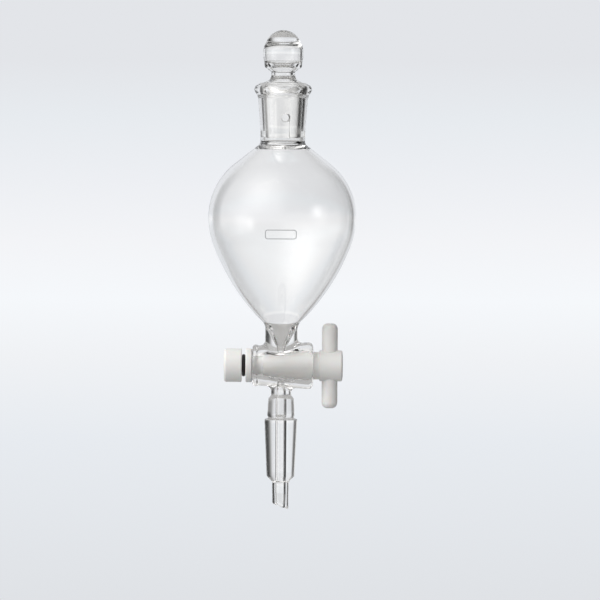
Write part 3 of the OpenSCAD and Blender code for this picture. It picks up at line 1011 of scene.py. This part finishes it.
class Surround:
    """The studio round the funnel, painted on the world by direction."""

    def __init__(self):
        world = bpy.data.worlds.new("studio")
        bpy.context.scene.world = world
        world.use_nodes = True
        self.tree = world.node_tree
        self.output = self.tree.nodes["Background"].inputs["Color"]
        place = self.tree.nodes.new("ShaderNodeTexCoord")
        self.direction = place.outputs["Generated"]
        parts = self.tree.nodes.new("ShaderNodeSeparateXYZ")
        self.tree.links.new(self.direction, parts.inputs["Vector"])
        self.x, self.y, self.z = parts.outputs

    def put(self, socket, value):
        if isinstance(value, (int, float, tuple)):
            socket.default_value = value
        else:
            self.tree.links.new(value, socket)

    def math(self, operation, a, b=0.0):
        made = self.tree.nodes.new("ShaderNodeMath")
        made.operation = operation
        self.put(made.inputs[0], a)
        self.put(made.inputs[1], b)
        return made.outputs[0]

    def between(self, value, low, high):
        """0 where value is at most low, 1 from high up, with soft ends."""
        made = self.tree.nodes.new("ShaderNodeMapRange")
        made.interpolation_type = "SMOOTHSTEP"
        self.put(made.inputs["Value"], value)
        made.inputs["From Min"].default_value = low
        made.inputs["From Max"].default_value = high
        return made.outputs["Result"]

    def ramp(self, value, stops):
        """Colours along value: stops are (position, colour) pairs in rising order."""
        low, high = stops[0][0], stops[-1][0]
        spread = self.tree.nodes.new("ShaderNodeMapRange")
        self.put(spread.inputs["Value"], value)
        spread.inputs["From Min"].default_value = low
        spread.inputs["From Max"].default_value = high
        made = self.tree.nodes.new("ShaderNodeValToRGB")
        self.tree.links.new(spread.outputs["Result"], made.inputs["Fac"])
        elements = made.color_ramp.elements
        while len(elements) < len(stops):
            elements.new(0.5)
        for element, (position, colour) in zip(elements, stops):
            element.position = (position - low) / (high - low)
            element.color = (*colour, 1)
        return made.outputs["Color"]

    def mix(self, factor, a, b, blend="MIX"):
        made = self.tree.nodes.new("ShaderNodeMix")
        made.data_type = "RGBA"
        made.blend_type = blend
        made.clamp_result = False
        colours = [socket for socket in made.inputs if socket.type == "RGBA"]
        self.put(made.inputs["Factor"], factor)
        self.put(colours[0], a)
        self.put(colours[1], b)
        return [socket for socket in made.outputs if socket.type == "RGBA"][0]

    def glow(self, colour, axis, sharpness, strength):
        """Adds a soft round glow of light from one direction."""
        dot = self.tree.nodes.new("ShaderNodeVectorMath")
        dot.operation = "DOT_PRODUCT"
        self.put(dot.inputs[0], self.direction)
        dot.inputs[1].default_value = Vector(axis).normalized()
        facing = self.math("MAXIMUM", dot.outputs["Value"], 0.0)
        level = self.math("MULTIPLY", self.math("POWER", facing, sharpness), strength[0])
        grey = self.tree.nodes.new("ShaderNodeCombineColor")
        for socket, share in zip(grey.inputs, strength[1]):
            self.put(socket, self.math("MULTIPLY", level, share))
        return self.mix(1.0, colour, grey.outputs["Color"], "ADD")


def by_angle(stops):
    """(angle, colour) stops in degrees as (sine, colour) stops."""
    return [(math.sin(math.radians(angle)), colour) for angle, colour in stops]


def by_turn(stops):
    """(degrees off +Y, grey) stops, widest first, as (cosine, colour) stops."""
    return [(math.cos(math.radians(turn)), (grey,) * 3) for turn, grey in stops]


def sky():
    """Lit backdrop behind the funnel, bright room on its left, dark on its right, light above."""
    studio = Surround()
    level = studio.math("SQRT", studio.math("ADD", studio.math("MULTIPLY", studio.x, studio.x),
                                            studio.math("MULTIPLY", studio.y, studio.y)))
    ahead = studio.math("DIVIDE", studio.y, level)
    aside = studio.math("DIVIDE", studio.x, level)
    left = studio.ramp(ahead, by_turn(ROOM_LEFT))
    right = studio.ramp(ahead, by_turn(ROOM_RIGHT))
    side = studio.between(aside, -SIDE_BLEND, SIDE_BLEND)
    colour = studio.mix(side, left, right)
    above = studio.between(studio.z, *(math.sin(math.radians(angle)) for angle in CEILING_RISE))
    across = studio.between(studio.x, *CEILING_TURN)
    ceiling = studio.mix(across, (*CEILING_LEFT, 1), (*CEILING_RIGHT, 1))
    colour = studio.mix(above, colour, ceiling)
    below = studio.between(studio.math("MULTIPLY", studio.z, -1.0),
                           *(math.sin(math.radians(angle)) for angle in GROUND_DROP))
    colour = studio.mix(below, colour, (*GROUND, 1))
    lit = [studio.between(ahead, *(math.cos(math.radians(turn)) for turn in turns))
           for turns in (PANEL_LEFT, PANEL_RIGHT)]
    panel = studio.mix(side, *lit)
    panel = studio.math("MULTIPLY", panel, studio.math("SUBTRACT", 1.0, above))
    colour = studio.mix(panel, colour, studio.ramp(studio.z, by_angle(SKY)))
    for axis, sharpness, strength in GLOWS:
        colour = studio.glow(colour, axis, sharpness, strength)
    studio.put(studio.output, colour)


def floor(material):
    """A round pale floor under the funnel."""
    work = bmesh.new()
    bmesh.ops.create_circle(work, cap_ends=True, radius=FLOOR_R, segments=128)
    mesh = bpy.data.meshes.new("floor")
    work.to_mesh(mesh)
    work.free()
    mesh.materials.append(material)
    made = bpy.data.objects.new("floor", mesh)
    made.location = (0, 0, FLOOR_Z)
    bpy.context.scene.collection.objects.link(made)


def camera():
    """Level with the bulb's lower half, far away on a long lens, as the funnel is seen."""
    data = bpy.data.cameras.new("camera")
    data.lens = LENS
    data.clip_end = 50
    holder = bpy.data.objects.new("camera", data)
    bpy.context.scene.collection.objects.link(holder)
    rise = math.radians(CAMERA_RISE)
    back = Vector((0, -math.cos(rise), math.sin(rise)))
    holder.location = AIM + CAMERA_DISTANCE * back
    turned = back.to_track_quat("Z", "Y")
    roll = Quaternion((0, 0, 1), math.radians(CAMERA_ROLL))
    holder.rotation_euler = (turned @ roll).to_euler()
    bpy.context.scene.camera = holder


def rendering():
    scene = bpy.context.scene
    scene.view_settings.view_transform = "Standard"
    scene.cycles.max_bounces = 24
    scene.cycles.transmission_bounces = 24
    scene.cycles.glossy_bounces = 8
    scene.cycles.caustics_refractive = True
    scene.cycles.caustics_reflective = True


# ---- Everything ------------------------------------------------------------------------

GLASS, PTFE = glass_look(), ptfe_look()
funnel_glass(GLASS)
stopper_glass(GLASS)
# the plug's material has painted light inside the barrel
plug_ptfe(plug_look_with_painted_light())
handle_ptfe(PTFE)
washer_ptfe(PTFE)
nut_ptfe(PTFE)
ring_rubber(rubber_look())
writing_field(enamel_look())
sky()
floor(floor_look())
camera()
rendering()
